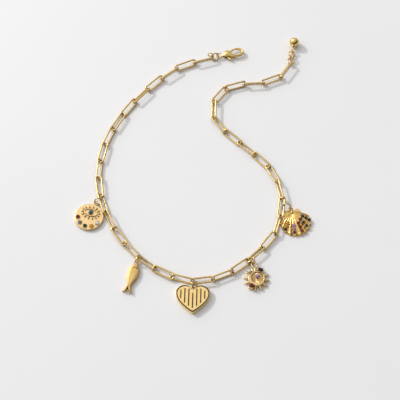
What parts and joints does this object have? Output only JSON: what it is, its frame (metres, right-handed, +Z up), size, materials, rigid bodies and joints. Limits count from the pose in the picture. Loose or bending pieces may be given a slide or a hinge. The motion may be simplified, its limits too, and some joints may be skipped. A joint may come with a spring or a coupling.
{
  "type": "charm necklace",
  "caption": "Gold-tone paperclip chain necklace lying open, with a sprung lobster clasp, small charms on jump rings and a ball drop at its end.",
  "frame": {"origin": "middle of the necklace's footprint, on the surface that it lies on", "axes": "+Z up from the surface; +Y towards the clasp and the ball drop, along the longest extent; +X towards the shell"},
  "size_m": [0.1164, 0.1572, 0.005],
  "materials": {
    "polished_gold": "polished gold plating",
    "satin_gold": "satin pale gold plating",
    "antique_gold": "yellow gold plating with dark enamel in the grooves",
    "teal_stone": "polished opaque teal",
    "clear_stone": "cut clear crystal",
    "navy_stone": "cut dark blue crystal",
    "ruby_stone": "cut red crystal",
    "lilac_stone": "cut lilac crystal"
  },
  "bodies": {
    "necklace": {"link_01": "polished_gold", "link_02": "polished_gold", "link_03": "polished_gold", "link_04": "polished_gold", "link_05": "polished_gold", "link_06": "polished_gold", "link_07": "polished_gold", "link_08": "polished_gold", "link_09": "polished_gold", "link_10": "polished_gold", "link_11": "polished_gold", "link_12": "polished_gold", "link_13": "polished_gold", "link_14": "polished_gold", "link_15": "polished_gold", "link_16": "polished_gold", "link_17": "polished_gold", "link_18": "polished_gold", "link_19": "polished_gold", "link_20": "polished_gold", "link_21": "polished_gold", "link_22": "polished_gold", "link_23": "polished_gold", "link_24": "polished_gold", "link_25": "polished_gold", "link_26": "polished_gold", "link_27": "polished_gold", "link_28": "polished_gold", "link_29": "polished_gold", "link_30": "polished_gold", "link_31": "polished_gold", "link_32": "polished_gold", "link_33": "polished_gold", "link_34": "polished_gold", "link_35": "polished_gold", "link_36": "polished_gold", "link_37": "polished_gold", "clasp_jump_ring": "polished_gold", "spare_ring": "polished_gold", "clasp_body": "polished_gold", "eye_ring": "polished_gold", "fish_ring": "polished_gold", "heart_ring": "polished_gold", "sun_ring": "polished_gold", "shell_ring": "polished_gold", "end_ring_a": "polished_gold", "end_ring_b": "polished_gold", "end_ring_c": "polished_gold", "ball_drop": "polished_gold", "eye_disc": "satin_gold", "fish_charm": "satin_gold", "sun_charm": "satin_gold", "shell_charm": "satin_gold", "heart_charm": "antique_gold", "eye_stone": "teal_stone", "sun_stone_clear": "clear_stone", "sun_stone_navy": "navy_stone", "sun_stone_ruby": "ruby_stone", "sun_stone_lilac": "lilac_stone"},
    "lever": {"clasp_lever": "polished_gold"}
  },
  "joints": [
    {"name": "clasp_gate", "type": "hinge", "parent": "necklace", "child": "lever", "pos_m": [0.01701, 0.0688, 0.0015], "axis": [0, 0, -1], "range_deg": [0, 24], "stiffness_Nm_per_rad": 0.004, "springref_deg": -20.05}
  ]
}
